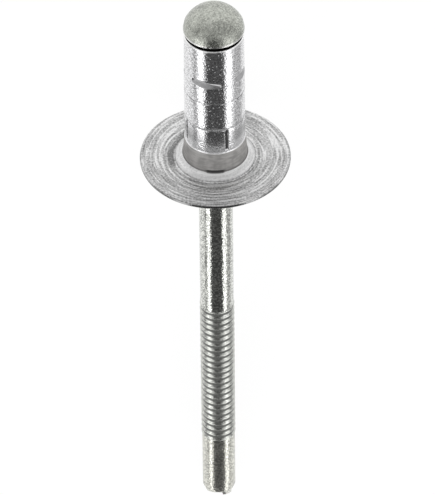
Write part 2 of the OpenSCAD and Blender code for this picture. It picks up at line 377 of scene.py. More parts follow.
def linked(name, data):
    """A new object in the scene."""
    made = bpy.data.objects.new(name, data)
    bpy.context.scene.collection.objects.link(made)
    return made


class Nodes:
    """Adds nodes to a tree: a value goes on a node's socket, and another node's output is linked."""

    def __init__(self, tree):
        self.tree = tree

    def put(self, socket, value):
        """Sets a socket's value or links another node's output to it; None leaves it."""
        if isinstance(value, bpy.types.NodeSocket):
            self.tree.links.new(value, socket)
        elif value is not None:
            socket.default_value = value

    def add(self, kind, *values, named=None, **settings):
        """A new node with its settings and the values of its first and its named inputs."""
        node = self.tree.nodes.new(kind)
        for key, value in settings.items():
            setattr(node, key, value)
        for socket, value in zip(node.inputs, values):
            self.put(socket, value)
        for key, value in (named or {}).items():
            self.put(node.inputs[key], value)
        return node

    def math(self, operation, *values):
        return self.add("ShaderNodeMath", *values, operation=operation).outputs[0]

    def times(self, *values):
        return self.math("MULTIPLY", *values)

    def plus(self, *values):
        return self.math("ADD", *values)

    def minus(self, *values):
        return self.math("SUBTRACT", *values)

    def above(self, value, limit):
        return self.math("GREATER_THAN", value, limit)

    def below(self, value, limit):
        return self.math("LESS_THAN", value, limit)

    def leg(self, slant, side):
        """Third side of a right triangle, from its longest and one other."""
        return self.math("SQRT", self.minus(self.times(slant, slant), self.times(side, side)))

    def xyz(self, vector):
        return self.add("ShaderNodeSeparateXYZ", vector).outputs

    def vector(self, *parts):
        return self.add("ShaderNodeCombineXYZ", *parts).outputs[0]

    def radius(self, x, y):
        """Distance from the axis."""
        return self.math("SQRT", self.plus(self.times(x, x), self.times(y, y)))

    def around(self, x, y):
        """Angle round the axis from the front, to the right."""
        return self.math("ARCTAN2", x, self.times(y, -1.0))

    def range(self, value, low, high, to_low=0.0, to_high=1.0, smooth=False):
        """The value's way from low to high, as 0 to 1 or between two other values."""
        kind = "SMOOTHSTEP" if smooth else "LINEAR"
        node = self.add("ShaderNodeMapRange", value, low, high, to_low, to_high, interpolation_type=kind)
        return node.outputs[0]


class ShapeTree(Nodes):
    """A Geometry Nodes tree with named inputs, and the modifier that runs it on one object."""

    def __init__(self, name):
        tree = bpy.data.node_groups.new(name, "GeometryNodeTree")
        super().__init__(tree)
        tree.interface.new_socket("Geometry", in_out="INPUT", socket_type="NodeSocketGeometry")
        tree.interface.new_socket("Geometry", in_out="OUTPUT", socket_type="NodeSocketGeometry")
        self.start = tree.nodes.new("NodeGroupInput")
        self.values = {}

    def named(self, **values):
        """Named inputs and their values: a whole number makes an input for whole numbers."""
        made = {}
        for key, value in values.items():
            name = key.replace("_", " ").capitalize()
            kind = "NodeSocketInt" if isinstance(value, int) else "NodeSocketFloat"
            socket = self.tree.interface.new_socket(name, in_out="INPUT", socket_type=kind)
            self.values[socket.identifier] = value
            made[key] = self.start.outputs[name]
        return SimpleNamespace(**made)

    def moved(self, geometry, *offset, chosen=None):
        """Moves all or the chosen points."""
        named = {"Offset": self.vector(*offset)}
        return self.add("GeometryNodeSetPosition", geometry, chosen, named=named).outputs[0]

    def place(self):
        """Coordinates of each point."""
        return self.xyz(self.add("GeometryNodeInputPosition").outputs[0])

    def pressed(self, name):
        """How far the marks of a name were pressed, below 0."""
        return self.add("GeometryNodeInputNamedAttribute", name, data_type="FLOAT").outputs[0]

    def finished(self, geometry, chosen):
        """Gives the chosen faces each finish in turn, realizes the whole and passes it out."""
        for finish, faces in chosen:
            geometry = self.add("GeometryNodeSetMaterial", geometry, faces, finish).outputs[0]
        self.add("NodeGroupOutput", self.add("GeometryNodeRealizeInstances", geometry).outputs[0])

    def mesh_from(self, mesh):
        """The mesh that the tree makes of the given one."""
        maker = linked("maker", mesh)
        modifier = maker.modifiers.new(self.tree.name, "NODES")
        modifier.node_group = self.tree
        for identifier, value in self.values.items():
            modifier[identifier] = value
        shown = maker.evaluated_get(bpy.context.evaluated_depsgraph_get())
        made = bpy.data.meshes.new_from_object(shown)
        bpy.data.objects.remove(maker)
        bpy.data.meshes.remove(mesh)
        return made


def press_marks(tree, geometry, number, turn, shift_of, name):
    """Presses like marks round the body, and keeps the depth of the press under a name."""
    x, y, z = tree.place()
    radius, around = tree.radius(x, y), tree.around(x, y)
    half = tree.math("DIVIDE", math.pi, number)
    local = tree.math("WRAP", tree.minus(around, turn), half, tree.times(half, -1.0))
    out = tree.times(radius, tree.math("COSINE", local))
    side = tree.times(radius, tree.math("SINE", local))
    shift = shift_of(out, side, z)
    kept = {"Name": name, "Value": shift}
    geometry = tree.add("GeometryNodeStoreNamedAttribute", geometry, named=kept, data_type="FLOAT").outputs[0]
    to = tree.minus(around, local)
    back = tree.times(tree.times(shift, -1.0), tree.math("COSINE", to))
    return tree.moved(geometry, tree.times(shift, tree.math("SINE", to)), back)


# Edges of the pressed marks and of their finishes, in metres
NICK_RUN_OUT, EDGE_SOFTNESS = 0.12 * MM, 0.02 * MM
CRIMP_SEEN, NICK_SEEN = -0.012 * MM, -0.06 * MM
ROOT_BELOW, GAP_BELOW = 0.02 * MM, 0.01 * MM
CRIMP_END_WALL = math.radians(1.2)


def body_tree(s, finishes):
    """Tree that presses the crimps and nicks into the body and gives it its finishes."""
    tree = ShapeTree("Crimps and nicks")
    v = tree.named(
        crimps=s.crimp_count,
        crimp_turn=s.crimp_turn,
        crimp_height=s.crimp_height,
        crimp_floor=s.shank_d / 2 - crimp_taper(s) - s.crimp_depth,
        crimp_flank=math.tan(s.crimp_angle / 2),
        crimp_slope=s.crimp_slope,
        crimp_edge_radius=s.crimp_edge_r,
        crimp_half_turn=math.asin(s.crimp_w / 2 / s.crimp_edge_r),
        crimp_end_wall=CRIMP_END_WALL,
        edge_softness=EDGE_SOFTNESS,
        nicks=s.nick_count,
        nick_turn=s.nick_turn,
        nick_radius=s.nick_r,
        nick_middle=s.shank_d / 2 + s.nick_r - s.nick_depth,
        nick_bottom=s.nick_bottom,
        nick_top=s.nick_top,
        nick_run_out=NICK_RUN_OUT,
        drawn_finish_from=s.shoulder_height - s.shoulder_step,
        root_finish_from=s.collar_height - ROOT_BELOW,
    )

    def crimp_shift(out, side, z):
        rise = tree.times(tree.minus(z, v.crimp_height), tree.math("COSINE", v.crimp_slope))
        off = tree.plus(rise, tree.times(side, tree.math("SINE", v.crimp_slope)))
        centre = tree.minus(v.crimp_floor, v.crimp_edge_radius)
        away = tree.math("DIVIDE", tree.math("ABSOLUTE", off), v.crimp_flank)
        reach = tree.plus(v.crimp_edge_radius, away)
        bow = tree.minus(tree.times(reach, reach), tree.times(side, side))
        limit = tree.plus(centre, tree.math("SQRT", tree.math("MAXIMUM", bow, 0.0)))
        turned = tree.math("ABSOLUTE", tree.math("ARCTAN2", side, tree.minus(out, centre)))
        within = tree.range(tree.minus(v.crimp_half_turn, turned), 0.0, v.crimp_end_wall)
        cut = tree.minus(tree.math("SMOOTH_MIN", out, limit, v.edge_softness), out)
        return tree.times(cut, within)

    def nick_shift(out, side, z):
        room = tree.math("MINIMUM", tree.minus(z, v.nick_bottom), tree.minus(v.nick_top, z))
        full = tree.range(room, 0.0, v.nick_run_out, smooth=True)
        bottom = tree.minus(v.nick_middle, tree.leg(v.nick_radius, side))
        cut = tree.minus(tree.math("MINIMUM", out, bottom), out)
        return tree.times(tree.times(cut, full), tree.below(out, v.nick_middle))

    geometry = tree.start.outputs["Geometry"]
    geometry = press_marks(tree, geometry, v.crimps, v.crimp_turn, crimp_shift, "crimp")
    geometry = press_marks(tree, geometry, v.nicks, v.nick_turn, nick_shift, "nick")
    z = tree.place()[2]
    chosen = {
        "turned": None,
        "root": tree.above(z, v.root_finish_from),
        "drawn": tree.above(z, v.drawn_finish_from),
        # The crimps' flanks get a finish darkened as painted shade, with a painted highlight
        "pressed": tree.below(tree.pressed("crimp"), CRIMP_SEEN),
        # The nicks and the body's end under the head get dark painted shade
        "nick": tree.below(tree.pressed("nick"), NICK_SEEN),
        "gap": tree.above(z, s.length - GAP_BELOW),
    }
    tree.finished(geometry, [(finishes[name], faces) for name, faces in chosen.items()])
    return tree


def crimp_taper(s):
    """How much the nose has narrowed at the row of crimps."""
    return s.nose_taper * max(0.0, s.crimp_height - (s.length - s.nose_len)) / s.nose_len


# Width of a ridge's crest, reach of the head's and the sheared end's finishes, in metres
CREST = 0.012 * MM
HEAD_BELOW, GAP_ABOVE, SHEARED_ABOVE = 0.1 * MM, 0.02 * MM, 0.12 * MM
SHEARED_REACH = 1.0 * MM
# Guards against rounding where a groove begins
HAIR, MARGIN = 1e-9, -1e-8


def serration_tree(s, finishes):
    """Tree that turns the rounded serrations in the stem and gives the mandrel its finishes."""
    tree = ShapeTree("Serrations")
    half, deep = s.serration_pitch / 2, s.serration_depth
    v = tree.named(
        stem_radius=s.stem_d / 2,
        ridge_height=s.ridge_height,
        groove_depth=deep,
        groove_radius=(half**2 + deep**2) / (2 * deep),
        pitch=s.serration_pitch,
        grooves=s.serration_count,
        first_ridge=s.serration_start,
        lead=s.serration_lead,
        crest_width=CREST,
        head_finish_from=BODY_TOP - HEAD_BELOW,
        sheared_from=-s.tail_len + SHEARED_ABOVE,
    )
    x, y, z = tree.place()
    down = tree.minus(tree.times(z, -1.0), v.first_ridge)
    room = tree.math("MINIMUM", down, tree.minus(tree.times(v.pitch, v.grooves), down))
    past_ridge = tree.math("FLOORED_MODULO", tree.plus(down, HAIR), v.pitch)
    bow = tree.leg(v.groove_radius, tree.minus(past_ridge, tree.times(v.pitch, 0.5)))
    groove = tree.minus(tree.minus(v.groove_radius, bow), v.groove_depth)
    groove = tree.math("SMOOTH_MIN", groove, tree.times(v.crest_width, -1.0), v.crest_width)
    groove = tree.times(groove, tree.above(room, MARGIN))
    rise = tree.range(room, tree.times(v.lead, -1.0), 0.0)
    scale = tree.math("DIVIDE", tree.plus(tree.times(v.ridge_height, rise), groove), v.stem_radius)
    geometry = tree.start.outputs["Geometry"]
    near = tree.above(rise, 0.0)
    geometry = tree.moved(geometry, tree.times(x, scale), tree.times(y, scale), chosen=near)

    high = tree.above(z, v.head_finish_from)
    below_rim = tree.below(z, BODY_TOP + s.head_gap + GAP_ABOVE)
    facing = tree.xyz(tree.add("GeometryNodeInputNormal").outputs[0])[2]
    low = tree.below(z, tree.plus(v.sheared_from, SHEARED_REACH))
    chosen = {
        "stem": None,
        "serrated": tree.above(rise, 0.5),
        "head": high,
        # Under the head's rim the mandrel gets the same dark painted shade
        "gap": tree.times(high, below_rim),
        "sheared": tree.times(tree.below(facing, -0.5), low),
    }
    tree.finished(geometry, [(finishes[name], faces) for name, faces in chosen.items()])
    return tree


# Pulling end: width of the torn lobe's side and height of the tear's waves, in metres
LOBE_SIDE_W, TEAR_H = 0.1 * MM, 0.006 * MM
TAPER_RINGS, FACE_RINGS = 12, 24
EDGE_ROUNDS = 12


def sheared_end(s, turns):
    """Rings of the tapered, pinched and torn pulling end, from the taper's start to its middle."""
    stem, taper, tip = s.stem_d / 2, s.tip_taper, s.tip_len
    start = tip - s.tail_len
    rise = math.tan(s.tip_slope)
    tear = np.random.default_rng(11).normal(0, 1, 9)

    def end_height(r):
        x, y = r * np.sin(turns), np.abs(r * np.cos(turns))
        step = np.clip((x - s.lobe_side) / LOBE_SIDE_W + 0.5, 0, 1)
        rough = sum(a * np.sin((k + 2) * turns + 2.0 * k) for k, a in enumerate(tear)) * TEAR_H
        return -s.tail_len - s.lobe_len * step + rise * y + rough * (r / stem)

    def tapered(z):
        return stem - taper * np.clip((start - z) / tip, 0, 1)

    edge = np.full(len(turns), stem - taper)
    for _ in range(EDGE_ROUNDS):
        edge = tapered(end_height(edge))
    bottom = end_height(edge)
    heights = [start + (bottom - start) * k for k in np.linspace(0, 1, TAPER_RINGS)[1:]]
    rings = [(tapered(z), z) for z in heights]
    rings += [(edge * k, end_height(edge * k)) for k in np.linspace(1, 0, FACE_RINGS)[1:-1]]
    return rings, float(end_height(0.0 * edge)[0])


def mandrel_mesh(s):
    """The plain mandrel before its serrations: revolved down to the taper, then the sheared end."""
    profile = mandrel_profile(s)
    segments = MANDREL_SEGMENTS
    turns = np.linspace(0, 2 * math.pi, segments, endpoint=False)
    rings, middle = sheared_end(s, turns)
    radius = np.concatenate([np.repeat(profile[:, :1], segments, 1), np.array([r for r, _ in rings])])
    height = np.concatenate([np.repeat(profile[:, 1:], segments, 1), np.array([z for _, z in rings])])
    points = ring_points(radius, height, turns)
    index = np.arange(len(points)).reshape(-1, segments)
    top, bottom = len(points), len(points) + 1
    points = points.tolist() + [[0, 0, BODY_TOP + s.head_h], [0, 0, middle]]
    faces = ring_faces(index[:-1], index[1:]).tolist()
    faces += [[top, int(a), int(b)] for a, b in zip(index[0], np.roll(index[0], -1))]
    faces += [[bottom, int(b), int(a)] for a, b in zip(index[-1], np.roll(index[-1], -1))]
    return new_mesh("mandrel", points, faces)


# Metals. Heights are over the bearing face, and patterns are per millimetre


class Metal(Nodes):
    """A metal's material, whose patterns lie in the rivet's own coordinates in millimetres."""

    def __init__(self, name, roughness, metallic=1.0):
        self.material = bpy.data.materials.new(name)
        self.material.use_nodes = True
        super().__init__(self.material.node_tree)
        self.shader = self.tree.nodes["Principled BSDF"]
        self.shader.inputs["Metallic"].default_value = metallic
        self.shader.inputs["Roughness"].default_value = roughness
        where = self.add("ShaderNodeTexCoord").outputs["Object"]
        place, turn, scale = (RIVET @ Matrix.Diagonal((MM, MM, MM, 1))).decompose()
        mapping = self.add("ShaderNodeMapping", where, place, turn.to_euler(), scale, vector_type="TEXTURE")
        self.place = mapping.outputs[0]
        self.bumps = self.tone = None

    def stretched(self, x, y, z):
        """The place, scaled along each axis."""
        return self.add("ShaderNodeMapping", self.place, None, None, (x, y, z)).outputs[0]

    def noise(self, scale, detail=2.0, rough=0.5, vector=None):
        """Noise of a number of spots per millimetre, on the place or another vector."""
        named = {"Vector": vector or self.place, "Scale": scale, "Detail": detail, "Roughness": rough}
        return self.add("ShaderNodeTexNoise", named=named).outputs["Fac"]

    def pits(self, scale, low, high):
        """Sparse spots, 1 in their middle."""
        named = {"Vector": self.place, "Scale": scale}
        distance = self.add("ShaderNodeTexVoronoi", named=named).outputs["Distance"]
        return self.range(distance, low, high, 1.0, 0.0)

    def between(self, value, low, high, ease):
        """1 between two values, eased to 0 outside them."""
        return self.times(self.range(value, low - ease, low), self.range(value, high + ease, high))

    def bump(self, height, depth):
        """Adds a bump whose height 1 stands the given number of millimetres proud."""
        named = {"Strength": 1.0, "Distance": depth * MM, "Height": height, "Normal": self.bumps}
        self.bumps = self.add("ShaderNodeBump", named=named).outputs[0]

    def tint(self, factor, dark, light):
        """Colour between two tones."""
        node = self.add("ShaderNodeMix", factor, data_type="RGBA")
        for socket, tone in ((node.inputs[6], dark), (node.inputs[7], light)):
            self.put(socket, tone if isinstance(tone, bpy.types.NodeSocket) else (*tone, 1.0))
        return node.outputs[2]

    def tones(self, factor, colour, dark, light):
        """Colour between two tones of one colour."""
        return self.tint(factor, toned(colour, dark), toned(colour, light))

    def over(self, mask, tone):
        """Lays a tone over the metal's own where the mask is 1."""
        self.tone = self.tint(mask, self.tone, tone)

    def mixed(self, first, second, weight):
        """Two patterns, the first with a weight and the second with the rest."""
        return self.plus(self.times(first, weight), self.times(second, 1.0 - weight))

    def shade_by_lobe(self, dark):
        """Painted shade in a dark line up the front of the pulling end, beside the torn lobe."""
        x, y, z = self.xyz(self.place)
        wobble = self.times(self.minus(self.noise(1.6), 0.5), 0.3)
        across = self.between(self.plus(x, wobble), *LOBE_SHADE_ACROSS, 0.08)
        length = self.times(self.range(z, *LOBE_SHADE_DOWN), self.range(y, 0.1, -0.1))
        self.over(self.times(across, length), dark)

    def satin(self, rough, low, high, scale):
        """Roughness that drifts between two shares of its value."""
        return self.range(self.noise(scale), 0.3, 0.7, rough * low, rough * high)

    def finish(self, roughness=None, metallic=None):
        """Puts the tone and the bumps on the shader, and what else isn't even all over."""
        self.put(self.shader.inputs["Base Color"], self.tone)
        self.put(self.shader.inputs["Roughness"], roughness)
        self.put(self.shader.inputs["Metallic"], metallic)
        self.put(self.shader.inputs["Normal"], self.bumps)
        return self.material


def toned(rgb, factor):
    """A colour, lighter or darker."""
    return tuple(min(1.0, c * factor) for c in rgb)


WHITE = (1.0, 1.0, 1.0)
LIP_HIGHLIGHT = (0.95, 0.95, 0.95)
HEAD_SIDE_HIGHLIGHT = (0.74, 0.74, 0.72)

# Where the colour of the shank and its root changes, mostly painted light and shade: heights, from none to
# full, in millimetres. A painted highlight on the end rim, painted shade along the upper fine ring, a band of
# painted shade and under it a band of painted light, a painted highlight on the root's lip, and painted shade
# at the root's foot
END_RIM_HIGHLIGHT = (16.9, 16.97)
RING_SHADE = (9.8, 9.93)
PAINTED_SHADE_BAND = (6.1, 5.4)
PAINTED_LIGHT_BAND = (4.5, 3.9)
ROOT_LIP = (-0.16, -0.12)
ROOT_FOOT = (0.86, 0.72)
FOOT_LINE, FOOT_LINE_SIDES, FOOT_LINE_FRONT = (0.94, 0.86), (-0.8, 0.8), (-2.0, -2.5)
# On the flange: heights of the face, of the edge's painted highlight and of the rim's painted shade, and
# radii of the collar, of that highlight and of that shade
FACE, EDGE_TOP, RIM_BELOW = (-0.3, -0.2), (-0.1, -0.05), (-0.06, -0.14)
COLLAR, EDGE, RIM = (3.5, 4.22), (7.84, 8.2), (7.8, 7.9)
# Marks on the flange's face: radii and their ease, angles round the axis and theirs, and weight; a scuff,
# then painted shade at the root's foot and a painted glint beside it
FLANGE_MARKS = (
    ((4.45, 5.05, 0.06), (-2.4, -1.3, 0.12), -0.13),
    # Painted shade at the root's foot
    ((0.0, 3.52, 0.08), (-0.2, 0.2, 0.1), -0.5),
    # Painted glint beside that shade
    ((3.62, 3.72, 0.06), (-0.42, 0.42, 0.15), 0.3),
)
# On the mandrel: heights of the head's side with its painted highlight, of the tail's finish and of the
# painted shade beside the torn lobe, and that shade's place across
HEAD_SIDE = (17.87, 17.77)
TAIL = (-40.8, -41.2)
LOBE_SHADE_ACROSS, LOBE_SHADE_DOWN = (0.42, 0.68), (-48.75, -49.2)
# Shares of a serration's pitch, from ridge to ridge: outside the first span a painted highlight lies on the
# ridge, inside the second painted shade lies in the groove
GROOVE_FREE, GROOVE_SHADE = (0.06, 0.96, 0.03), (0.14, 0.58, 0.08)
# Distance from a small dark speck's middle, from full to none, in its own grid
SPECK = (0.22, 0.36)


def drawn_aluminium(f):
    """Bright drawn shank: fine lengthwise lines, specks and small pits, a painted highlight on the rim at its
    end, painted shade along the upper fine ring, and painted bands low down.
    """
    metal = Metal("drawn_aluminium", f.drawn_rough)
    z = metal.xyz(metal.place)[2]
    specks = metal.noise(4.5, 2.0, 0.55)
    grain = metal.noise(4.7, 1.0)
    metal.bump(specks, 0.03)
    metal.bump(metal.noise(2.0, 3.0, vector=metal.stretched(5.0, 5.0, 0.35)), 0.006)
    metal.bump(metal.pits(3.4, 0.08, 0.2), -0.015)
    metal.tone = metal.tones(metal.range(grain, 0.4, 0.58), f.drawn, 0.74, 1.12)
    metal.over(metal.pits(3.8, *SPECK), toned(f.drawn, 0.55))
    # Painted shade in dashes along the groove of the upper fine ring
    ring_shade = metal.times(metal.between(z, *RING_SHADE, 0.03), metal.range(specks, 0.5, 0.54))
    metal.over(ring_shade, toned(f.drawn, 0.35))
    # A band of painted shade where the highlights fade, and under it a band of painted light where the shank
    # mirrors the flange
    metal.over(metal.range(z, *PAINTED_SHADE_BAND), metal.tones(grain, f.drawn, 0.6, 0.84))
    metal.over(metal.range(z, *PAINTED_LIGHT_BAND), metal.tones(grain, f.drawn, 1.1, 1.3))
    # A painted highlight on the rim at the body's end, where the metal is also rougher
    rim = metal.range(z, *END_RIM_HIGHLIGHT)
    rough = metal.satin(f.drawn_rough, 0.85, 1.2, 0.8)
    metal.over(rim, WHITE)
    return metal.finish(metal.plus(rough, metal.times(rim, 0.3)))


def pressed_aluminium(f, s):
    """Flanks of the crimps: rougher pressed metal darkened to a grey of painted shade, with more painted
    shade above and a painted highlight along the tool's edge.
    """
    metal = Metal("pressed_aluminium", 0.3)
    x, y, z = metal.xyz(metal.place)
    half = math.pi / s.crimp_count
    local = metal.math("WRAP", metal.minus(metal.around(x, y), s.crimp_turn), half, -half)
    up = metal.minus(z, mm(s.crimp_height))
    line = metal.plus(up, metal.times(metal.minus(local, 0.2), 0.5))
    line = metal.between(line, -0.04, 0.04, 0.03)
    grain = metal.noise(4.0)
    metal.bump(grain, 0.01)
    # The flanks' grey is painted shade
    metal.tone = metal.tones(grain, f.drawn, 0.5, 0.72)
    # Painted shade on the upper flank
    metal.over(metal.range(up, 0.08, 0.22), toned(f.drawn, 0.2))
    # Painted highlight along the tool's edge, less metallic where it lies
    metal.over(line, WHITE)
    return metal.finish(metallic=metal.range(line, 0.0, 1.0, 1.0, 0.1))


def root_aluminium(f, s):
    """Thick root of the shank: dull, streaked, with a painted highlight on the shoulder and painted shade at
    its foot.
    """
    metal = Metal("root_aluminium", 0.6, 0.4)
    x, y, z = metal.xyz(metal.place)
    lines = metal.noise(1.0, 1.0, vector=metal.stretched(0.9, 0.9, 4.6))
    streaks = metal.noise(1.0, 2.0, vector=metal.stretched(1.3, 1.3, 0.8))
    metal.bump(lines, 0.015)
    metal.tone = metal.tones(metal.range(metal.mixed(lines, streaks, 0.5), 0.4, 0.6), f.root, 0.82, 1.18)
    # Painted highlight along the shoulder's lip
    lip = metal.range(z, *(mm(s.shoulder_height) + off for off in ROOT_LIP))
    metal.over(lip, LIP_HIGHLIGHT)
    # Painted shade at the root's foot, darkest in a line across the front
    metal.over(metal.range(z, *ROOT_FOOT), toned(f.root, 0.5))
    front = metal.times(metal.between(x, *FOOT_LINE_SIDES, 0.4), metal.range(y, *FOOT_LINE_FRONT))
    metal.over(metal.times(front, metal.range(z, *FOOT_LINE)), toned(f.root, 0.12))
    return metal.finish()


def turned_aluminium(f):
    """Flange: broken lathe lines, a pale collar, a scuff, a painted highlight on the edge, painted shade on
    the rim's wall, and painted shade and a painted glint at the root's foot.
    """
    metal = Metal("turned_aluminium", f.turned_rough)
    x, y, z = metal.xyz(metal.place)
    radius, around = metal.radius(x, y), metal.around(x, y)
    slow_x, slow_y = metal.times(x, 0.28), metal.times(y, 0.28)

    def rings(per_mm, detail):
        return metal.noise(1.0, detail, vector=metal.vector(metal.times(radius, per_mm), slow_x, slow_y))

    lines, bands = rings(4.6, 1.0), rings(1.6, 2.0)
    bright, dark = metal.range(lines, 0.54, 0.62), metal.range(lines, 0.46, 0.38)
    grain = metal.noise(4.7, 1.0)
    metal.bump(lines, 0.025)
    metal.bump(grain, 0.015)

    face = metal.range(z, *FACE)
    collar = metal.times(face, metal.between(radius, *COLLAR, 0.06))
    # A painted highlight on the flange's edge
    edge = metal.times(metal.between(radius, *EDGE, 0.05), metal.range(z, *EDGE_TOP))
    # Painted shade on the rim's wall, which is also smoother
    rim = metal.times(metal.range(radius, *RIM), metal.range(z, *RIM_BELOW))
    shade = 0.0
    for part, weight in ((bands, 0.07), (grain, 0.43)):
        shade = metal.plus(shade, metal.times(metal.minus(part, 0.5), weight))
    for part, weight in ((bright, 0.13), (dark, -0.07)):
        shade = metal.plus(shade, metal.times(part, weight))
    shade = metal.times(shade, metal.minus(1.0, metal.times(collar, 0.55)))
    for part, weight in ((collar, 0.095), (edge, 0.02), (rim, -0.2)):
        shade = metal.plus(shade, metal.times(part, weight))
    for radii, angles, weight in FLANGE_MARKS:
        mark = metal.times(metal.between(radius, *radii), metal.between(around, *angles))
        shade = metal.plus(shade, metal.times(metal.times(face, mark), weight))
    metal.tone = metal.tones(metal.range(shade, -0.15, 0.15), f.turned, 0.42, 1.56)
    rough = metal.satin(f.turned_rough, 0.9, 1.1, 0.5)
    return metal.finish(metal.minus(rough, metal.times(rim, 0.33)))


def plated_head(f):
    """Domed head: satin, mottled, greenish grey, with sparse painted glints and a painted highlight on its
    lower rim.
    """
    metal = Metal("plated_head", f.head_rough)
    mottle = metal.noise(5.0, 4.0, 0.65)
    metal.bump(mottle, 0.05)
    metal.bump(metal.pits(3.2, 0.04, 0.13), -0.01)
    mixed = metal.mixed(mottle, metal.noise(0.9), 0.75)
    metal.tone = metal.tones(metal.range(mixed, 0.4, 0.6), f.head, 0.55, 1.12)
    # Painted glints: sparse light spots
    spots = metal.times(metal.pits(2.4, 0.1, 0.2), metal.range(mottle, 0.5, 0.56))
    metal.over(spots, toned(f.head, 1.7))
    # Painted highlight on the head's side, which is also a little smoother
    side = metal.range(metal.xyz(metal.place)[2], *HEAD_SIDE)
    rough = metal.satin(f.head_rough, 0.9, 1.15, 0.9)
    metal.over(side, HEAD_SIDE_HIGHLIGHT)
    return metal.finish(metal.minus(rough, metal.times(side, 0.08)))


def plated_stem(f):
    """Stem: bright plating over drawn wire, speckled, yellower at the pulling end, with painted shade beside
    the torn lobe.
    """
    metal = Metal("plated_stem", f.stem_rough)
    tail = metal.range(metal.xyz(metal.place)[2], *TAIL)
    specks = metal.noise(4.6, 1.0)
    metal.bump(specks, 0.024)
    metal.bump(metal.noise(1.0, 3.0, vector=metal.stretched(6.0, 6.0, 0.9)), 0.01)
    grain = metal.range(specks, 0.43, 0.57)
    metal.tone = metal.tones(grain, f.stem, 0.5, 1.17)
    metal.over(tail, metal.tones(grain, f.tail, 0.72, 1.15))
    metal.over(metal.pits(3.9, *SPECK), toned(f.stem, 0.58))
    metal.shade_by_lobe(toned(f.stem, 0.12))
    rough = metal.satin(f.stem_rough, 0.85, 1.25, 0.7)
    return metal.finish(metal.plus(rough, metal.times(tail, 0.1)))


def serrated_steel(f, s):
    """Serrations: rounded grooves with dull painted shade in them, and painted highlights on the ridges."""
    metal = Metal("serrated_steel", 0.17)
    down = metal.minus(metal.times(metal.xyz(metal.place)[2], -1.0), mm(s.serration_start))
    part = metal.math("FRACT", metal.math("DIVIDE", down, mm(s.serration_pitch)))
    ridge = metal.minus(1.0, metal.between(part, *GROOVE_FREE))
    groove_shade = metal.between(part, *GROOVE_SHADE)
    grain = metal.range(metal.noise(4.6, 3.0, 0.8), 0.4, 0.6)
    metal.bump(grain, 0.006)
    metal.tone = metal.tones(grain, f.stem, 0.56, 1.0)
    # Painted shade in the grooves, where the metal is also less metallic
    metal.over(groove_shade, metal.tones(grain, f.stem, 0.17, 0.27))
    # Painted highlight on each ridge
    metal.over(ridge, toned(f.stem, 1.3))
    metal.put(metal.shader.inputs["Specular IOR Level"], 0.15)
    return metal.finish(metallic=metal.range(groove_shade, 0.0, 1.0, 0.95, 0.3))


def sheared_steel(f):
    """Torn face of the pulling end: rough, with streaks along the pinch and painted shade beside the torn
    lobe.
    """
    metal = Metal("sheared_steel", 0.5)
    tear = metal.noise(1.0, 4.0, 0.7, metal.stretched(4.5, 1.2, 1.2))
    metal.bump(tear, 0.03)
    metal.bump(metal.noise(9.0, 3.0), 0.01)
    metal.tone = metal.tones(metal.range(tear, 0.3, 0.7), f.sheared, 0.5, 1.3)
    metal.shade_by_lobe(toned(f.sheared, 0.15))
    return metal.finish()


def painted_shade(name, dark):
    """Dull dark material of painted shade, in the gap under the head and in the nicks."""
    metal = Metal(name, 0.5)
    grain = metal.noise(6.0)
    metal.bump(grain, 0.01)
    metal.tone = metal.tones(grain, dark, 0.7, 1.3)
    return metal.finish()


# Pieces

SHARP_ANGLE = math.radians(32)


def finished_piece(mesh, name):
    """Lays a mesh down in the packed model's frame and attaches it to the root body; the caller hides the CAD
    node that it stands for.
    """
    mesh.name = name
    mesh.transform(RIVET)
    mesh.shade_smooth()
    mesh.set_sharp_from_angle(angle=SHARP_ANGLE)
    piece = linked(name, mesh)
    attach(piece, "root")
    return piece


class MakeBody(Operator):
    """Turn the flanged body and press its crimps, rings and nicks"""

    bl_idname = "pop_rivet.body"
    bl_label = "Flanged Body"

    def execute(self, context):
        s, f = context.scene.rivet_body_sizes, context.scene.rivet_finish
        plain = revolve("body_blank", body_profile(s), BODY_SEGMENTS)
        finishes = {
            "drawn": drawn_aluminium(f),
            "pressed": pressed_aluminium(f, s),
            "root": root_aluminium(f, s),
            "turned": turned_aluminium(f),
            "nick": painted_shade("oily_nick", toned(f.drawn, 0.12)),
            "gap": painted_shade("oily_gap", f.gap),
        }
        tree = body_tree(s, finishes)
        piece = finished_piece(tree.mesh_from(plain), "flanged_body")
        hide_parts("rivet_body")
        return {"FINISHED"}


class MakeMandrel(Operator):
    """Head the mandrel, turn its serrations and shear its pulling end"""

    bl_idname = "pop_rivet.mandrel"
    bl_label = "Mandrel"

    def execute(self, context):
        s, f = context.scene.rivet_mandrel_sizes, context.scene.rivet_finish
        finishes = {
            "head": plated_head(f),
            "stem": plated_stem(f),
            "serrated": serrated_steel(f, s),
            "sheared": sheared_steel(f),
            "gap": bpy.data.materials["oily_gap"],
        }
        made = serration_tree(s, finishes).mesh_from(mandrel_mesh(s))
        piece = finished_piece(made, "serrated_mandrel")
        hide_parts("mandrel")
        return {"FINISHED"}


# Studio


# Softboxes: name, angle round the axis in degrees, and width; all sizes in metres
SOFTBOXES = (("softbox_left", -51, 0.2), ("softbox_right", 55, 0.17))
BOX_LENGTH, BOX_DISTANCE = 1.6, 0.6
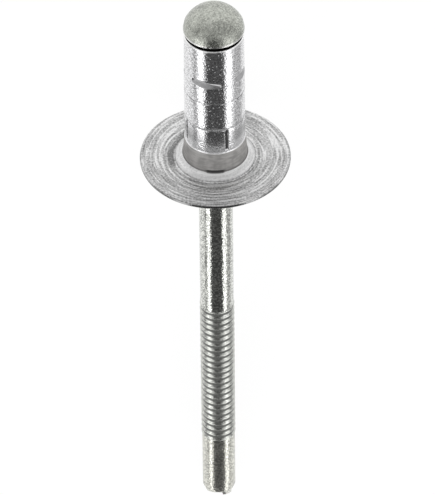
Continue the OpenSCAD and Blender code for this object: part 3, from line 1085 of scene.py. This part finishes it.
# Rows of the cards, as a rise towards the head and the angles of the left and right sides, in degrees
FLAG_ROWS = (
    (-72, -49, 50), (-46, -49, 50), (-43.5, -38, 43), (-25, -36, 38), (0, -24, 24), (10, -20, 19), (34, -2, 1)
)
TOP_ROWS = tuple((rise, -76, 76) for rise in (13, 30, 45, 60, 75))
SIDE_RISES = (-80, -60, -40, -20, 0, 20, 32)
LEFT_ROWS = tuple((rise, -116, -72) for rise in SIDE_RISES)
RIGHT_ROWS = tuple((rise, 78, 112) for rise in SIDE_RISES)
TAIL_ROWS = ((-89.9, -180, 180), (-75, -180, 180))
CARD_COLUMNS, CARD_MIDDLE = 9, Vector((0, 0, 0.008))
# Floor card: distances to the right, the rivet's heights at its two ends, and its place over the floor
FLOOR_CARD, FLOOR_CARD_ENDS, OVER_FLOOR = (0.016, 0.12), (0.012, -0.12), 0.4 * MM
# The floor's half width, how much brighter it is than the backdrop, and how faint its shadow
FLOOR_REACH, FLOOR_GAIN, FLOOR_WHITE = 3.0, 1.05, 0.88


def emptied(owner):
    """The nodes of a material or world, with none in it yet."""
    owner.use_nodes = True
    owner.node_tree.nodes.clear()
    return Nodes(owner.node_tree)


def glowing(name, tone):
    """A material of one even grey, whatever the light."""
    material = bpy.data.materials.new(name)
    nodes = emptied(material)
    grey = nodes.add("ShaderNodeEmission", (tone, tone, tone, 1.0), 1.0)
    nodes.add("ShaderNodeOutputMaterial", grey.outputs[0])
    return material


def white_for_mirrors(nodes, white, dull):
    """Mixes in plain white for rays from the camera and from metal."""
    ray = nodes.add("ShaderNodeLightPath").outputs
    seen = nodes.math("MAXIMUM", ray["Is Glossy Ray"], ray["Is Transmission Ray"])
    seen = nodes.math("MAXIMUM", seen, ray["Is Camera Ray"])
    return nodes.add("ShaderNodeMixShader", seen, dull, white).outputs[0]


def make_floor(settings):
    """A wide pale floor that shows white and keeps a faint shadow."""
    material = bpy.data.materials.new("pale_floor")
    nodes = emptied(material)
    white = nodes.add("ShaderNodeEmission", (1, 1, 1, 1), settings.backdrop * FLOOR_GAIN).outputs[0]
    dull = nodes.add("ShaderNodeBsdfDiffuse", (settings.floor_tone,) * 3 + (1.0,)).outputs[0]
    shaded = nodes.add("ShaderNodeMixShader", FLOOR_WHITE, dull, white).outputs[0]
    nodes.add("ShaderNodeOutputMaterial", white_for_mirrors(nodes, shaded, dull))
    corners = ((-1, -1), (1, -1), (1, 1), (-1, 1))
    mesh = new_mesh("floor", [(x * FLOOR_REACH, y * FLOOR_REACH, 0) for x, y in corners], [(0, 1, 2, 3)])
    mesh.materials.append(material)
    linked("floor", mesh)


def make_world(settings):
    """White world for the camera and for metal, even light for the rest."""
    world = bpy.data.worlds.new("studio")
    bpy.context.scene.world = world
    nodes = emptied(world)
    white = nodes.add("ShaderNodeBackground", (1, 1, 1, 1), settings.backdrop).outputs[0]
    dull = nodes.add("ShaderNodeBackground", (1, 1, 1, 1), settings.room_light).outputs[0]
    nodes.add("ShaderNodeOutputWorld", white_for_mirrors(nodes, white, dull))


def softbox(name, round_axis, settings, width):
    """A long area light at an angle round the axis, over the plane across it."""
    back = mirrored(round_axis, -math.degrees(settings.elevation))
    light = bpy.data.lights.new(name, "AREA")
    light.shape, light.size, light.size_y = "RECTANGLE", width, BOX_LENGTH
    light.energy = settings.box_light * math.pi * BOX_LENGTH * width
    lamp = linked(name, light)
    side = rivet_direction(0, 0, 1).cross(back).normalized()
    turn = Matrix((side, back.cross(side), back)).transposed().to_4x4()
    lamp.matrix_world = Matrix.Translation(back * BOX_DISTANCE) @ turn
    lamp.visible_camera = False


def mirrored(round_axis, rise):
    """Direction at an angle round the axis from the front and a rise towards the head, in degrees."""
    around, up = math.radians(round_axis), math.radians(rise)
    return rivet_direction(math.cos(up) * math.sin(around), math.cos(up) * math.cos(around), math.sin(up))


def floor_card(name, tone):
    """A flat card on the floor, right of the rivet, that only metal sees."""
    near, far = FLOOR_CARD
    head, tail = (RIVET @ Vector((0, 0, z)) for z in FLOOR_CARD_ENDS)
    points = [(x, end.y, OVER_FLOOR) for x, end in ((near, head), (far, head), (far, tail), (near, tail))]
    hang(name, points, [(0, 1, 2, 3)], tone)


def card(name, rows, distance, tone):
    """A curved card that only metal sees; each row is its rise and its two sides, as angles."""
    last = CARD_COLUMNS - 1
    points = [
        CARD_MIDDLE + mirrored(left + (right - left) * i / last, rise) * distance
        for rise, left, right in rows
        for i in range(CARD_COLUMNS)
    ]
    starts = [r * CARD_COLUMNS + i for r in range(len(rows) - 1) for i in range(last)]
    faces = [(a, a + 1, a + CARD_COLUMNS + 1, a + CARD_COLUMNS) for a in starts]
    hang(name, points, faces, tone)


def hang(name, points, faces, tone):
    """Makes a card's mesh and hides it from all but metal."""
    mesh = new_mesh(name, points, faces)
    mesh.materials.append(glowing(name, tone))
    made = linked(name, mesh)
    made.visible_camera = made.visible_diffuse = made.visible_shadow = False


def rivet_direction(right, front, up):
    """A direction in the rivet's own terms, in the packed model's frame."""
    return RIVET.to_3x3() @ Vector((right, -front, up))


def make_camera(settings):
    """Camera at the photograph's angle, looking down on the lying rivet."""
    camera = linked("camera", bpy.data.cameras.new("camera"))
    camera.data.lens = settings.lens
    camera.data.clip_start, camera.data.clip_end = 0.01, 10.0
    e = settings.elevation
    back = rivet_direction(0, math.cos(e), math.sin(e))
    up = rivet_direction(0, -math.sin(e), math.cos(e))
    target = RIVET @ Vector((settings.aside, 0, -settings.aim))
    right = up.cross(back)
    turn = Matrix((right, up, back)).transposed().to_4x4()
    camera.matrix_world = (
        Matrix.Translation(target + back * settings.distance) @ turn @ Matrix.Rotation(-settings.lean, 4, "Z")
    )
    bpy.context.scene.camera = camera


class MakeStudio(Operator):
    """Lay the pale floor, place the camera and hang the softboxes, the dark flag and the cards"""

    bl_idname = "pop_rivet.studio"
    bl_label = "Studio"

    def execute(self, context):
        settings = context.scene.rivet_studio
        make_floor(settings)
        make_world(settings)
        make_camera(settings)
        for name, round_axis, width in SOFTBOXES:
            softbox(name, round_axis, settings, width)
        card("dark_flag", FLAG_ROWS, 0.5, settings.dark_card)
        card("top_card", TOP_ROWS, 0.52, settings.top_card)
        card("left_card", LEFT_ROWS, 0.55, settings.side_card)
        card("right_card", RIGHT_ROWS, 0.55, settings.side_card)
        floor_card("floor_card", settings.top_card)
        card("tail_card", TAIL_ROWS, 0.5, settings.tail_card)
        context.scene.view_settings.view_transform = "Standard"
        return {"FINISHED"}


class RivetPanel(Panel):
    """Sidebar panel with the rivet's pieces and studio"""

    bl_idname = "VIEW3D_PT_pop_rivet"
    bl_label = "Pop Rivet"
    bl_space_type = "VIEW_3D"
    bl_region_type = "UI"
    bl_category = "Pop Rivet"

    def draw(self, context):
        for operator in OPERATORS:
            self.layout.operator(operator.bl_idname)
        for group in GROUPS:
            settings = getattr(context.scene, GROUPS[group])
            box = self.layout.box()
            box.label(text=group.__doc__)
            for name in group.__annotations__:
                box.prop(settings, name)


GROUPS = {
    BodySizes: "rivet_body_sizes",
    MandrelSizes: "rivet_mandrel_sizes",
    Finish: "rivet_finish",
    Studio: "rivet_studio",
}
OPERATORS = (MakeBody, MakeMandrel, MakeStudio)


def register():
    for group, name in GROUPS.items():
        bpy.utils.register_class(group)
        setattr(bpy.types.Scene, name, PointerProperty(type=group))
    for cls in (*OPERATORS, RivetPanel):
        bpy.utils.register_class(cls)


def unregister():
    for cls in reversed((*OPERATORS, RivetPanel)):
        bpy.utils.unregister_class(cls)
    for group, name in reversed(GROUPS.items()):
        delattr(bpy.types.Scene, name)
        bpy.utils.unregister_class(group)


def main():
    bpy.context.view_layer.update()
    register()
    bpy.ops.pop_rivet.body()
    bpy.ops.pop_rivet.mandrel()
    bpy.ops.pop_rivet.studio()


if __name__ == "__main__":
    main()
